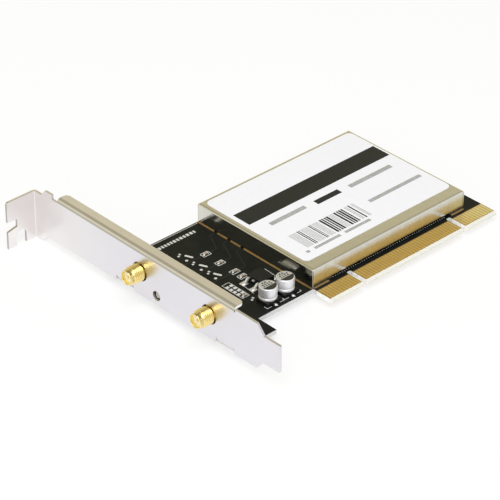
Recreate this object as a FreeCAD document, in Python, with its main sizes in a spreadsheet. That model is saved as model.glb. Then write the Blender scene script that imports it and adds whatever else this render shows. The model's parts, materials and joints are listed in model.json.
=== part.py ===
import FreeCAD, Part
import math
import os
import types
import Sketcher
from FreeCAD import Vector

# Plug-in wireless network card for a desktop computer, in millimetres.
# Origin: middle of the card edge's lower end, on the component face of the board.
# +X runs along the board away from the bracket, +Y from the card edge up the board,
# +Z out of the component face.

SIZES = [
    # Circuit board
    ("board_thickness", 1.6, "board, component face to solder face"),
    ("board_height", 65.2, "card edge to the far edge of the board"),
    ("board_shoulder", 8.9, "card edge to the lower edge beside the connector"),
    ("board_gap", 0.75, "bracket's inner face to the board"),
    ("board_corner", 0.8, "rounding of the board's corners"),
    ("foot_reach", 18.3, "bracket's outer face to the far side of the foot"),
    ("foot_end", 0.3, "height of the foot's end over the card edge"),
    ("connector_margin", 0.65, "connector's near end to the first contact"),
    ("end_margin", 0.35, "last contact to the board's end"),
    ("key_width", 1.93, "width of a key slot in the connector"),
    ("key_margin", 0.3, "key slot's end to the board's lower edge"),
    ("key_rounding", 0.85, "rounding at the end of a key slot"),
    ("bevel_length", 1.1, "lead-in bevel, up the card"),
    ("bevel_depth", 0.45, "lead-in bevel, into the card"),
    # Gold edge contacts
    ("contact_pitch", 1.27, "contact to contact"),
    ("contact_width", 1.02, "width of a contact"),
    ("contact_length", 5.7, "length of a contact"),
    ("contact_inset", 1.3, "card edge to the contacts"),
    ("contact_thickness", 0.06, "plating and copper over the board"),
    ("outer_contacts", 11, "contacts outside each key slot"),
    ("middle_contacts", 36, "contacts between the key slots"),
    ("key_positions", 2, "contact positions that a key slot takes up"),
    # Bracket, one folded sheet
    ("bracket_reach", 83.075, "middle of the connector to the bracket's outer face"),
    ("sheet", 0.86, "thickness of the bracket's sheet"),
    ("tab_bend", 1.15, "outer radius of the tabs' bends"),
    ("flange_bend", 1.6, "outer radius of the flange's bend"),
    ("plate_bottom", 0.75, "plate's lower edge under the component face"),
    ("flange_top", 16.9, "top of the stiffening flange"),
    ("flange_width", 4.5, "flange, from the plate's outer face"),
    ("flange_start", 0.7, "flange's lower end"),
    ("flange_end", 87.8, "flange's upper end"),
    ("flange_corner", 1.8, "rounding of the flange's corners"),
    ("fold_relief", 0.5, "relief cut beside the flange's bend"),
    ("tongue_tip", 20.15, "tongue's tip below the card edge"),
    ("tongue_root", 12.8, "where the tongue reaches its width"),
    ("tongue_shoulder", 9.7, "where the plate starts to narrow"),
    ("tongue_bottom", 2.65, "tongue's lower side"),
    ("tongue_top", 12.85, "tongue's upper side"),
    ("tongue_corner", 0.5, "rounding of the tongue's tip"),
    ("plate_end_top", 16.25, "plate's top edge between flange and tongue"),
    ("shoulder_top", 17.1, "plate's top edge between flange and ear"),
    ("shoulder_start", 90.6, "where that edge begins, clear of the flange's end"),
    ("shoulder_end", 94.2, "where the plate starts to narrow to the ear"),
    ("jog_start", 93.3, "where the lower edge starts to widen to the ear"),
    ("neck_start", 96.4, "where the plate has the ear's width"),
    ("ear_seat", 99.86, "underside of the ear, over the card edge"),
    ("ear_reach", 11.95, "ear's end, from the plate's outer face"),
    ("ear_top", 14.6, "ear's upper side"),
    ("ear_bottom", 3.85, "ear's lower side under the component face"),
    ("ear_bend", 0.4, "inner radius of the ear's bend"),
    ("ear_corner", 1.0, "rounding of the ear's corner"),
    ("slot_offset", 4.2, "plate's outer face to the screw slot"),
    ("slot_width", 4.4, "width of the screw slot"),
    ("slot_top", 1.75, "end of the screw slot"),
    ("slot_rounding", 1.9, "rounding at the end of the screw slot"),
    ("notch_depth", 4.05, "guide notch, in from the ear's end"),
    ("notch_top", 6.75, "guide notch's upper side"),
    ("notch_low", 3.75, "guide notch's lower inner corner"),
    ("notch_flare", 1.0, "how far the notch opens to its mouth"),
    ("tab_width", 7.6, "width of a mounting tab"),
    ("tab_length", 10.5, "tab's end, from the plate's outer face"),
    ("tab_corner", 1.5, "rounding of a tab's corners"),
    ("tab_relief", 0.8, "relief cut beside a tab"),
    ("relief_slant", 0.3, "how far a relief cut narrows upward"),
    ("tab_clearance", 0.6, "mounting tab to jack body"),
    ("tab_hole_inset", 4.6, "tab's end to its screw"),
    # Screws that hold the bracket
    ("screw_diameter", 2.9, "screw thread, at its crests"),
    ("screw_head", 5.4, "diameter of a screw head"),
    ("screw_head_height", 1.7, "height of a screw head"),
    ("screw_clearance", 0.15, "screw to its hole in the board"),
    ("screw_end", 0.5, "screw's end past its tab"),
    ("recess_span", 2.8, "cross recess, end to end"),
    ("recess_width", 0.7, "cross recess, across one arm"),
    ("recess_depth", 0.9, "depth of the cross recess"),
    # Antenna jacks
    ("jack_low", 12.5, "axis of the lower jack over the card edge"),
    ("jack_spacing", 33.4, "axis to axis"),
    ("jack_height", 8.35, "axis over the component face"),
    ("barrel_diameter", 6.2, "threaded barrel"),
    ("barrel_reach", 5.9, "barrel's end past the plate"),
    ("barrel_clearance", 0.4, "barrel to its hole in the plate"),
    ("lip_diameter", 5.3, "plain lip in front of the thread"),
    ("lip_length", 1.4, "length of that lip"),
    ("neck_diameter", 5.8, "plain neck behind the thread"),
    ("neck_gap", 0.3, "thread's end in front of the plate"),
    ("block_width", 6.4, "jack body across the board"),
    ("block_length", 7.0, "jack body along the board"),
    ("block_gap", 0.6, "bracket's inner face to jack body"),
    ("block_rise", 3.9, "jack body's top over the axis"),
    ("block_rounding", 1.2, "rounding of the body's top"),
    ("bore_diameter", 4.5, "bore through the barrel into the body"),
    ("socket_depth", 1.3, "barrel's end to the insulator"),
    ("drop_size", 2.6, "side of the insulator's square leg down to the board"),
    ("pin_diameter", 0.95, "centre contact"),
    ("tail_size", 0.7, "side of the contact's square leg through the board"),
    ("pin_setback", 0.5, "contact's tip behind the barrel's end"),
    ("leg_size", 1.0, "side of a square solder leg"),
    ("leg_inset", 0.9, "jack body's end to a leg"),
    ("leg_reach", 1.0, "leads' ends past the solder face"),
    ("leg_clearance", 0.1, "lead to its hole in the board"),
    # Status light
    ("led_offset", 8.15, "light's axis below the upper jack"),
    ("led_height", 2.7, "light's axis over the component face"),
    ("led_diameter", 3.0, "diameter of the lens"),
    ("led_clearance", 0.3, "lens to its hole in the plate"),
    ("led_setback", 0.35, "lens front behind the plate's outer face"),
    ("led_length", 4.4, "lens, front to rim"),
    ("led_chamfer", 0.8, "chamfer round the lens front"),
    ("led_rim", 3.8, "diameter of the rim"),
    ("led_rim_length", 1.0, "length of the rim"),
    ("wire_size", 0.5, "side of a square lead wire"),
    ("wire_spacing", 2.54, "wire to wire"),
    ("wire_run", 2.2, "rim to the far side of the bent wire"),
    ("wire_bend", 0.9, "outer radius of a wire's bend"),
    # Electrolytic capacitors
    ("capacitor_offset", 27.97, "bracket's outer face to the first capacitor"),
    ("capacitor_rise", 14.58, "capacitors over the card edge"),
    ("capacitor_gap", 1.2, "base to base"),
    ("capacitor_height", 5.8, "board to the can's top"),
    ("can_diameter", 6.3, "diameter of a can"),
    ("can_chamfer", 0.3, "chamfer round a can's top"),
    ("crimp_height", 1.5, "crimp over the base"),
    ("crimp_depth", 0.25, "depth of the crimp"),
    ("base_size", 6.6, "side of a base"),
    ("base_height", 0.9, "height of a base"),
    ("base_chamfer", 1.3, "cut corners of a base"),
    ("terminal_width", 0.7, "width of a terminal"),
    ("terminal_inner", 0.66, "capacitor's middle to a terminal's inner end"),
    ("terminal_reach", 0.7, "terminal past the base"),
    ("terminal_thickness", 0.2, "thickness of a terminal"),
    # Voltage regulator
    ("regulator_offset", 34.0, "bracket's outer face to the regulator's middle"),
    ("regulator_rise", 24.4, "regulator's middle over the card edge"),
    ("regulator_width", 6.05, "body along the board"),
    ("regulator_length", 6.6, "body across the board"),
    ("regulator_height", 2.25, "body's top over the board"),
    ("body_lift", 0.1, "underside of a leaded body over the board"),
    ("lead_spacing", 4.57, "outer lead to outer lead"),
    ("lead_width", 0.76, "width of a lead"),
    ("lead_reach", 2.8, "lead past the body"),
    ("lead_knee", 0.6, "body to the lead's slope"),
    ("lead_thickness", 0.5, "thickness of the leads and the cooling tab"),
    ("lead_foot", 1.4, "foot of a lead on the board"),
    ("lead_exit", 1.05, "where a lead leaves the body"),
    ("stub_reach", 0.7, "cut middle lead past the body"),
    ("cooling_width", 5.2, "width of the cooling tab"),
    ("cooling_reach", 1.1, "cooling tab past the body"),
    # Chip parts
    ("chip_offset", 31.2, "bracket's outer face to the antenna line parts"),
    ("chip_rise", 34.0, "first antenna line part over the card edge"),
    ("chip_pitch", 7.15, "antenna line to antenna line"),
    ("chip_length", 1.6, "length of a chip part"),
    ("chip_width", 0.8, "width of a chip part"),
    ("chip_height", 0.5, "height of a chip part"),
    ("chip_end", 0.3, "length of a metal end"),
    ("supply_chip_drop", 3.8, "supply part below the first antenna line part"),
    ("strap_chip_offset", 23.9, "bracket's outer face to the strap part"),
    ("strap_chip_rise", 21.4, "strap part over the card edge"),
    # Shield can
    ("shield_gap", 3.75, "second capacitor's base to the can"),
    ("shield_end_margin", 7.2, "can to the board's end"),
    ("shield_front_margin", 0.1, "can behind the board's lower edge"),
    ("shield_rear_margin", 0.15, "can to the board's far edge"),
    ("shield_height", 7.475, "can's top over the board"),
    ("shield_sheet", 0.3, "thickness of the can's sheet"),
    ("shield_bend", 0.6, "outer radius of the can's folds"),
    ("seam", 0.18, "open seam at a can's corner"),
    ("cutout_start", 7.7, "can's near end to the trace opening"),
    ("cutout_finish", 5.9, "trace opening to the can's far end"),
    ("cutout_height", 1.4, "height of the trace opening"),
    ("cutout_slant", 1.7, "slant of the opening's ends"),
    ("feed_height", 0.8, "height of an antenna line's opening"),
    ("feed_width", 1.5, "width of an antenna line's opening"),
    ("feed_pitch", 6.55, "opening to opening"),
    ("feed_drop", 9.1, "can's far side to the first opening"),
    ("ground_width", 0.4, "solder strip beside the can"),
    ("ground_thickness", 0.05, "thickness of that strip"),
    # Label
    ("label_near", 1.8, "can's near end to the label"),
    ("label_far", 1.07, "label to the can's far end"),
    ("label_front", 4.87, "can's front to the label"),
    ("label_rear", 1.46, "label to the can's far side"),
    ("label_corner", 2.2, "rounding of the label's corners"),
    ("label_thickness", 0.1, "thickness of the label"),
    # Under the can
    ("radio_size", 9.0, "side of the radio chip"),
    ("radio_height", 0.9, "height of the radio chip"),
    ("radio_inset", 16.0, "can's near end to the radio chip's middle"),
    ("radio_rise", 38.0, "can's front to the radio chip's middle"),
    ("processor_size", 14.0, "side of the network processor"),
    ("processor_height", 1.2, "height of the network processor"),
    ("processor_inset", 40.0, "can's near end to the processor's middle"),
    ("processor_rise", 26.0, "can's front to the processor's middle"),
    ("crystal_length", 5.0, "length of the crystal"),
    ("crystal_width", 3.2, "width of the crystal"),
    ("crystal_height", 1.1, "height of the crystal"),
    ("crystal_rounding", 0.5, "rounding of the crystal's can"),
    ("crystal_inset", 28.0, "can's near end to the crystal's middle"),
    ("memory_width", 3.9, "body of the memory chip across its leads"),
    ("memory_length", 4.9, "body of the memory chip along its leads"),
    ("memory_height", 1.6, "height of the memory chip"),
    ("memory_span", 6.0, "across both rows of the memory's leads"),
    ("memory_pitch", 1.27, "lead to lead"),
    ("memory_lead_width", 0.42, "width of a lead"),
    ("memory_lead_thickness", 0.28, "thickness of a lead"),
    ("memory_lead_foot", 0.75, "foot of a lead on the board"),
    ("memory_lead_exit", 0.85, "where a lead leaves the body"),
    ("memory_inset", 58.0, "can's near end to the memory chip's middle"),
]

MEMORY_LEADS_PER_ROW = 4
REGULATOR_LEADS = 2
BRACKET_SCREWS = 2
LIGHT_WIRES = 2
FEED_OPENINGS = 3
OVERCUT = 2.0
LEVEL_TOLERANCE = 1e-6


class Size:
    """A length with the sheet formula that gives it."""

    def __init__(self, value, formula):
        self.value = float(value)
        self.formula = formula

    def __add__(self, other):
        other = as_size(other)
        return Size(self.value + other.value, f"({self.formula} + {other.formula})")

    def __sub__(self, other):
        other = as_size(other)
        return Size(self.value - other.value, f"({self.formula} - {other.formula})")

    def __mul__(self, other):
        other = as_size(other)
        return Size(self.value * other.value, f"({self.formula} * {other.formula})")

    def __truediv__(self, other):
        other = as_size(other)
        return Size(self.value / other.value, f"({self.formula} / {other.formula})")

    def __neg__(self):
        return Size(-self.value, f"(-1 * {self.formula})")

    def __radd__(self, other):
        return as_size(other) + self


def as_size(number):
    if isinstance(number, Size):
        return number
    return Size(number, repr(float(number)))


def is_zero(number):
    return not isinstance(number, Size) and number == 0


doc = FreeCAD.newDocument("wireless_network_card")
sheet = doc.addObject("Spreadsheet::Sheet", "Sizes")
for row, (alias, value, note) in enumerate(SIZES, start=1):
    sheet.set(f"A{row}", note)
    sheet.set(f"B{row}", str(value))
    sheet.setAlias(f"B{row}", alias)
doc.recompute()
d = types.SimpleNamespace(**{alias: Size(value, f"Sizes.{alias}") for alias, value, _ in SIZES})

sub_parts = []


# Document helpers

def set_size(obj, prop, size):
    obj.setExpression(prop, as_size(size).formula)


def new_body(label, x=0, y=0, z=0):
    """A sub-part whose own frame stands at (x, y, z)."""
    body = doc.addObject("PartDesign::Body", label)
    body.Label = label
    body.AllowCompound = True
    for axis, place in zip("xyz", (x, y, z)):
        if not is_zero(place):
            set_size(body, f"Placement.Base.{axis}", place)
    sub_parts.append(body)
    return body


def origin_feature(body, role):
    return next(item for item in body.Origin.OriginFeatures if item.Role == role)


def new_sketch(body, plane, level=0):
    """A sketch on XY, XZ or YZ of the body's frame, moved to the level on the third axis."""
    sketch = body.newObject("Sketcher::SketchObject", f"{body.Label}_{plane}_sketch")
    sketch.AttachmentSupport = [(origin_feature(body, f"{plane}_Plane"), "")]
    sketch.MapMode = "FlatFace"
    if not is_zero(level):
        along_normal = -as_size(level) if plane == "XZ" else level
        set_size(sketch, "AttachmentOffset.Base.z", along_normal)
    return sketch


def place_point(sketch, geometry, position, x, y):
    for kind, axis, value in (("DistanceX", -2, x), ("DistanceY", -1, y)):
        if is_zero(value):
            sketch.addConstraint(Sketcher.Constraint("PointOnObject", geometry, position, axis))
            continue
        size = as_size(value)
        made = sketch.addConstraint(
            Sketcher.Constraint(kind, -1, 1, geometry, position, size.value))
        set_size(sketch, f"Constraints[{made}]", size)


def add_circle(sketch, x, y, diameter):
    size = as_size(diameter)
    centre = Vector(as_size(x).value, as_size(y).value, 0)
    circle = sketch.addGeometry(Part.Circle(centre, Vector(0, 0, 1), size.value / 2))
    place_point(sketch, circle, 3, x, y)
    made = sketch.addConstraint(Sketcher.Constraint("Diameter", circle, size.value))
    set_size(sketch, f"Constraints[{made}]", size)


def rounded_corner(before, corner, after, radius):
    """Tangent points, centre and turning direction of an arc that rounds a corner."""
    back = (before - corner).normalize()
    ahead = (after - corner).normalize()
    half = math.acos(max(-1.0, min(1.0, back.dot(ahead)))) / 2
    reach = radius / math.tan(half)
    middle = (back + ahead).normalize()
    turns_left = (corner - before).cross(after - corner).z > 0
    return corner + back * reach, corner + ahead * reach, \
        corner + middle * (radius / math.sin(half)), turns_left


def add_outline(sketch, corners):
    """A closed outline through (x, y) or (x, y, rounding) corners, each placed from the sheet."""
    points = [Vector(as_size(c[0]).value, as_size(c[1]).value, 0) for c in corners]
    count = len(corners)
    arrive, leave, arcs = list(points), list(points), {}
    for i, corner in enumerate(corners):
        if len(corner) == 3:
            arrive[i], leave[i], centre, left = rounded_corner(
                points[i - 1], points[i], points[(i + 1) % count], as_size(corner[2]).value)
            arcs[i] = (centre, left)
    lines = [sketch.addGeometry(Part.LineSegment(leave[i], arrive[(i + 1) % count]))
             for i in range(count)]
    for i, corner in enumerate(corners):
        into, out = lines[i - 1], lines[i]
        if i not in arcs:
            sketch.addConstraint(Sketcher.Constraint("Coincident", into, 2, out, 1))
            place_point(sketch, out, 1, corner[0], corner[1])
            continue
        centre, left = arcs[i]
        radius = as_size(corner[2])
        first, last = (arrive[i], leave[i]) if left else (leave[i], arrive[i])
        circle = Part.Circle(centre, Vector(0, 0, 1), radius.value)
        arc = sketch.addGeometry(
            Part.ArcOfCircle(circle, circle.parameter(first), circle.parameter(last)))
        start, end = (1, 2) if left else (2, 1)
        mark = sketch.addGeometry(Part.Point(points[i]), True)
        place_point(sketch, mark, 1, corner[0], corner[1])
        sketch.addConstraint(Sketcher.Constraint("PointOnObject", mark, 1, into))
        sketch.addConstraint(Sketcher.Constraint("PointOnObject", mark, 1, out))
        sketch.addConstraint(Sketcher.Constraint("Tangent", into, 2, arc, start))
        sketch.addConstraint(Sketcher.Constraint("Tangent", arc, end, out, 1))
        made = sketch.addConstraint(Sketcher.Constraint("Radius", arc, radius.value))
        set_size(sketch, f"Constraints[{made}]", radius)


def rectangle(x0, y0, x1, y1, rounding=None):
    """Corners of a rectangle, for add_outline."""
    corners = [(x0, y0), (x1, y0), (x1, y1), (x0, y1)]
    return corners if rounding is None else [(x, y, rounding) for x, y in corners]


def centred(x, y, width, height, rounding=None):
    x, y = as_size(x), as_size(y)
    return rectangle(x - as_size(width) / 2, y - as_size(height) / 2,
                     x + as_size(width) / 2, y + as_size(height) / 2, rounding)


def grow(body, sketch, length, positive=True):
    """Pad a sketch towards the positive or negative side of its third axis."""
    pad = body.newObject("PartDesign::Pad", f"{body.Label}_pad")
    pad.Profile = sketch
    along_normal = positive != sketch.Name.count("_XZ_")
    pad.Reversed = not along_normal
    set_size(pad, "Length", length)
    body.Tip = pad
    return pad


def cut(body, sketch, length, positive=True):
    """Pocket a sketch towards the positive or negative side of its third axis."""
    doc.recompute()
    before = body.Shape.Volume
    pocket = body.newObject("PartDesign::Pocket", f"{body.Label}_pocket")
    pocket.Profile = sketch
    along_normal = positive != sketch.Name.count("_XZ_")
    pocket.Reversed = along_normal
    set_size(pocket, "Length", length)
    body.Tip = pocket
    doc.recompute()
    if body.Shape.Volume >= before:
        raise RuntimeError(f"{pocket.Label} cuts nothing")
    return pocket


def spin(body, sketch, axis):
    """Revolve a half section about an axis of the body's frame."""
    turned = body.newObject("PartDesign::Revolution", f"{body.Label}_turned")
    turned.Profile = sketch
    turned.ReferenceAxis = (origin_feature(body, f"{axis}_Axis"), [""])
    turned.Angle = 360
    body.Tip = turned
    return turned


def repeat(body, feature, axis, spacing, count):
    """Copies of a feature along an axis of the body's frame."""
    row_of = body.newObject("PartDesign::LinearPattern", f"{body.Label}_row")
    row_of.Originals = [feature]
    row_of.Direction = (origin_feature(body, f"{axis}_Axis"), [""])
    set_size(row_of, "Length", as_size(spacing) * (as_size(count) - 1))
    set_size(row_of, "Occurrences", count)
    body.Tip = row_of
    return row_of


# Places that several sub-parts share

plate_x = -d.bracket_reach
contact_positions = d.outer_contacts * 2 + d.middle_contacts + d.key_positions * 2
first_contact_x = -(contact_positions - 1) / 2 * d.contact_pitch
key_x = -(d.middle_contacts + d.key_positions) / 2 * d.contact_pitch
connector_left = first_contact_x - d.contact_width / 2 - d.connector_margin
board_left = plate_x + d.sheet + d.board_gap
board_right = -first_contact_x + d.contact_width / 2 + d.end_margin
solder_face = -d.board_thickness

jack_rises = {"lower": d.jack_low, "upper": d.jack_low + d.jack_spacing}
block_front = d.sheet + d.block_gap
pin_drop_x = block_front + d.block_length / 2
leg_inset_x = d.leg_inset + d.leg_size / 2
leg_x = (block_front + leg_inset_x, block_front + d.block_length - leg_inset_x)
leg_y = d.block_width / 2 - d.leg_size / 2

tab_offset = d.block_width / 2 + d.tab_clearance + d.tab_width / 2
tab_rises = {"lower": jack_rises["lower"] - tab_offset, "upper": jack_rises["upper"] + tab_offset}
tab_screw_x = d.tab_length - d.tab_hole_inset
screw_distance = tab_rises["upper"] - tab_rises["lower"]

led_rise = jack_rises["upper"] - d.led_offset
led_rear = d.led_setback + d.led_length + d.led_rim_length
wire_x = led_rear + d.wire_run

capacitor_step = d.base_size + d.capacitor_gap
capacitor_places = {"near": d.capacitor_offset, "far": d.capacitor_offset + capacitor_step}
shield_left = plate_x + capacitor_places["far"] + d.base_size / 2 + d.shield_gap
shield_front = d.board_shoulder + d.shield_front_margin
shield_length = board_right - d.shield_end_margin - shield_left
shield_width = d.board_height - d.shield_rear_margin - shield_front


# Circuit board and its edge contacts

def make_circuit_board():
    board = new_body("circuit_board", z=solder_face)
    foot_right = plate_x + d.foot_reach
    key_end = d.board_shoulder - d.key_margin
    half_key = d.key_width / 2

    def key_slot(middle):
        return [(middle - half_key, 0), (middle - half_key, key_end, d.key_rounding),
                (middle + half_key, key_end, d.key_rounding), (middle + half_key, 0)]

    outline = new_sketch(board, "XY")
    add_outline(outline, [
        (board_left, d.foot_end), (foot_right, d.foot_end),
        (foot_right, d.board_shoulder), (connector_left, d.board_shoulder),
        (connector_left, 0), *key_slot(key_x), *key_slot(-key_x), (board_right, 0),
        (board_right, d.board_height, d.board_corner),
        (board_left, d.board_height, d.board_corner)])
    grow(board, outline, d.board_thickness)

    bevel = new_sketch(board, "YZ", connector_left - OVERCUT)
    for face, inward in ((as_size(0), 1), (d.board_thickness, -1)):
        add_outline(bevel, [(-as_size(OVERCUT), face), (d.bevel_length, face),
                            (0, face + d.bevel_depth * inward),
                            (-as_size(OVERCUT), face + d.bevel_depth * inward)])
    cut(board, bevel, board_right - connector_left + 2 * OVERCUT)

    holes = new_sketch(board, "XY")
    for rise in tab_rises.values():
        add_circle(holes, plate_x + tab_screw_x, rise, d.screw_diameter + d.screw_clearance * 2)
    for rise in jack_rises.values():
        tail_hole = d.tail_size + d.leg_clearance * 2
        add_outline(holes, centred(plate_x + pin_drop_x, rise, tail_hole, tail_hole))
        for x in leg_x:
            for side in (-1, 1):
                add_outline(holes, centred(plate_x + x, rise + leg_y * side,
                                           d.leg_size + d.leg_clearance * 2,
                                           d.leg_size + d.leg_clearance * 2))
    for side in (-1, 1):
        add_outline(holes, centred(plate_x + wire_x - d.wire_size / 2,
                                   led_rise + d.wire_spacing / 2 * side,
                                   d.wire_size + d.leg_clearance * 2,
                                   d.wire_size + d.leg_clearance * 2))
    cut(board, holes, d.board_thickness)


def make_contacts(label, level):
    contacts = new_body(label, z=level)
    step = d.outer_contacts + d.key_positions
    middle_start = step
    last_start = step + d.middle_contacts + d.key_positions
    rows = ((as_size(0), d.outer_contacts), (middle_start, d.middle_contacts),
            (last_start, d.outer_contacts))
    for start, count in rows:
        sketch = new_sketch(contacts, "XY")
        x = first_contact_x + start * d.contact_pitch
        add_outline(sketch, rectangle(x - d.contact_width / 2, d.contact_inset,
                                      x + d.contact_width / 2,
                                      d.contact_inset + d.contact_length))
        finger = grow(contacts, sketch, d.contact_thickness)
        repeat(contacts, finger, "X", d.contact_pitch, count)


# Bracket: plate, flange, ear and two tabs folded from one sheet

def plate_corners():
    bottom = -d.plate_bottom
    fold_line = d.flange_top - d.flange_bend
    neck_top = d.ear_top
    ear_fold = d.ear_seat - d.ear_bend
    corners = [
        (-d.tongue_tip, d.tongue_top, d.tongue_corner),
        (-d.tongue_tip, d.tongue_bottom, d.tongue_corner),
        (-d.tongue_root, d.tongue_bottom), (-d.tongue_shoulder, bottom)]
    for rise in tab_rises.values():
        half = d.tab_width / 2 + d.tab_relief
        corners += [(rise - half, bottom), (rise - half + d.relief_slant, d.tab_bend),
                    (rise + half - d.relief_slant, d.tab_bend), (rise + half, bottom)]
    corners += [
        (d.jog_start, bottom), (d.neck_start, -d.ear_bottom), (ear_fold, -d.ear_bottom),
        (ear_fold, neck_top), (d.neck_start, neck_top),
        (d.shoulder_end, d.shoulder_top), (d.shoulder_start, d.shoulder_top),
        (d.shoulder_start, fold_line), (d.flange_start - d.fold_relief, fold_line),
        (d.flange_start - d.fold_relief, d.plate_end_top),
        (-d.tongue_shoulder, d.plate_end_top), (-d.tongue_root, d.tongue_top)]
    return corners


def add_fold(body, plane, start, length, corners):
    fold = new_sketch(body, plane, start)
    add_outline(fold, corners)
    return grow(body, fold, length)


def make_bracket():
    bracket = new_body("bracket", x=plate_x)
    plate = new_sketch(bracket, "YZ")
    add_outline(plate, plate_corners())
    for rise in jack_rises.values():
        add_circle(plate, rise, d.jack_height, d.barrel_diameter + d.barrel_clearance * 2)
    add_circle(plate, led_rise, d.led_height, d.led_diameter + d.led_clearance * 2)
    grow(bracket, plate, d.sheet)

    # Stiffening flange; a fold's section reaches one sheet past its bend, into the flat parts
    under = d.flange_top - d.sheet
    run = d.flange_bend + d.sheet
    low = d.flange_top - run
    add_fold(bracket, "XZ", d.flange_start, d.flange_end - d.flange_start, [
        (0, low), (d.sheet, low), (d.sheet, under, d.flange_bend - d.sheet), (run, under),
        (run, d.flange_top), (0, d.flange_top, d.flange_bend)])
    flange = new_sketch(bracket, "XY", under)
    add_outline(flange, [
        (d.flange_bend, d.flange_start), (d.flange_width, d.flange_start, d.flange_corner),
        (d.flange_width, d.flange_end, d.flange_corner), (d.flange_bend, d.flange_end)])
    grow(bracket, flange, d.sheet)

    # Ear with its screw slot and guide notch
    ear_back = d.ear_seat + d.sheet
    ear_run = d.ear_bend + d.sheet
    ear_low = d.ear_seat - ear_run
    add_fold(bracket, "XY", -d.ear_bottom, d.ear_bottom + d.ear_top, [
        (0, ear_low), (d.sheet, ear_low), (d.sheet, ear_back, ear_run),
        (-ear_run, ear_back), (-ear_run, d.ear_seat), (0, d.ear_seat, d.ear_bend)])
    ear = new_sketch(bracket, "XZ", d.ear_seat)
    slot_far = d.slot_offset + d.slot_width
    notch_in = d.ear_reach - d.notch_depth
    add_outline(ear, [
        (-d.ear_bend, -d.ear_bottom), (-d.ear_bend, d.ear_top),
        (-d.ear_reach, d.ear_top, d.ear_corner), (-d.ear_reach, d.notch_top),
        (-notch_in, d.notch_top), (-notch_in, d.notch_low),
        (-d.ear_reach, d.notch_low - d.notch_flare), (-d.ear_reach, -d.ear_bottom),
        (-slot_far, -d.ear_bottom), (-slot_far, d.slot_top, d.slot_rounding),
        (-d.slot_offset, d.slot_top, d.slot_rounding), (-d.slot_offset, -d.ear_bottom)])
    grow(bracket, ear, d.sheet)

    # Mounting tabs that lie on the component face
    run = d.tab_bend + d.sheet
    for rise in tab_rises.values():
        low, high = rise - d.tab_width / 2, rise + d.tab_width / 2
        add_fold(bracket, "XZ", low, d.tab_width, [
            (0, run), (0, 0, d.tab_bend), (run, 0), (run, d.sheet),
            (d.sheet, d.sheet, d.tab_bend - d.sheet), (d.sheet, run)])
        tab = new_sketch(bracket, "XY")
        add_outline(tab, [
            (d.tab_bend, low), (d.tab_length, low, d.tab_corner),
            (d.tab_length, high, d.tab_corner), (d.tab_bend, high)])
        add_circle(tab, tab_screw_x, rise, d.screw_diameter)
        grow(bracket, tab, d.sheet)


def make_bracket_screws():
    screws = new_body("bracket_screws", x=plate_x + tab_screw_x, y=tab_rises["lower"])
    head_end = solder_face - d.screw_head_height
    section = new_sketch(screws, "XZ")
    shank, head = d.screw_diameter / 2, d.screw_head / 2
    tip = d.sheet + d.screw_end
    add_outline(section, [
        (0, head_end), (head, head_end), (head, solder_face),
        (shank, solder_face), (shank, tip), (0, tip)])
    turned = spin(screws, section, "Z")
    recess = new_sketch(screws, "XY", head_end)
    arm, half = d.recess_span / 2, d.recess_width / 2
    add_outline(recess, [
        (arm, -half), (arm, half), (half, half), (half, arm), (-half, arm), (-half, half),
        (-arm, half), (-arm, -half), (-half, -half), (-half, -arm), (half, -arm), (half, -half)])
    cross = cut(screws, recess, d.recess_depth)
    copies = repeat(screws, turned, "Y", screw_distance, BRACKET_SCREWS)
    copies.Originals = [turned, cross]


# Antenna jacks

def make_jack(name, rise):
    frame = {"x": plate_x, "y": rise, "z": d.jack_height}
    front = -d.barrel_reach
    floor = front + d.socket_depth
    board_face = -d.jack_height
    insulator_end = pin_drop_x + d.bore_diameter / 2
    pin_end = pin_drop_x + d.pin_diameter / 2

    shell = new_body(f"jack_shell_{name}", **frame)
    block = new_sketch(shell, "YZ", block_front)
    half = d.block_width / 2
    add_outline(block, [
        (-half, board_face), (half, board_face), (half, d.block_rise, d.block_rounding),
        (-half, d.block_rise, d.block_rounding)])
    grow(shell, block, d.block_length)
    barrel = new_sketch(shell, "XY")
    lip, thread, neck = d.lip_diameter / 2, d.barrel_diameter / 2, d.neck_diameter / 2
    lip_end = front + d.lip_length
    add_outline(barrel, [
        (front, 0), (front, lip), (lip_end, lip), (lip_end, thread),
        (-d.neck_gap, thread), (-d.neck_gap, neck), (block_front, neck), (block_front, 0)])
    spin(shell, barrel, "X")
    legs = new_sketch(shell, "XY", board_face)
    for x in leg_x:
        for side in (-1, 1):
            add_outline(legs, centred(x, leg_y * side, d.leg_size, d.leg_size))
    grow(shell, legs, d.board_thickness + d.leg_reach, positive=False)

    def add_elbow(body, work, diameter, start, end, leg, low):
        along = new_sketch(body, "YZ", start)
        add_circle(along, 0, 0, diameter)
        work(body, along, end - start)
        down = new_sketch(body, "XY", low)
        add_outline(down, centred(pin_drop_x, 0, leg, leg))
        work(body, down, -low)

    add_elbow(shell, cut, d.bore_diameter, front, insulator_end, d.drop_size, board_face)

    insulator = new_body(f"jack_insulator_{name}", **frame)
    add_elbow(insulator, grow, d.bore_diameter, floor, insulator_end, d.drop_size, board_face)
    add_elbow(insulator, cut, d.pin_diameter, floor, pin_end, d.tail_size, board_face)

    contact = new_body(f"jack_contact_{name}", **frame)
    lead_end = board_face - d.board_thickness - d.leg_reach
    add_elbow(contact, grow, d.pin_diameter, front + d.pin_setback, pin_end, d.tail_size,
              lead_end)


# Status light behind the plate

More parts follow.
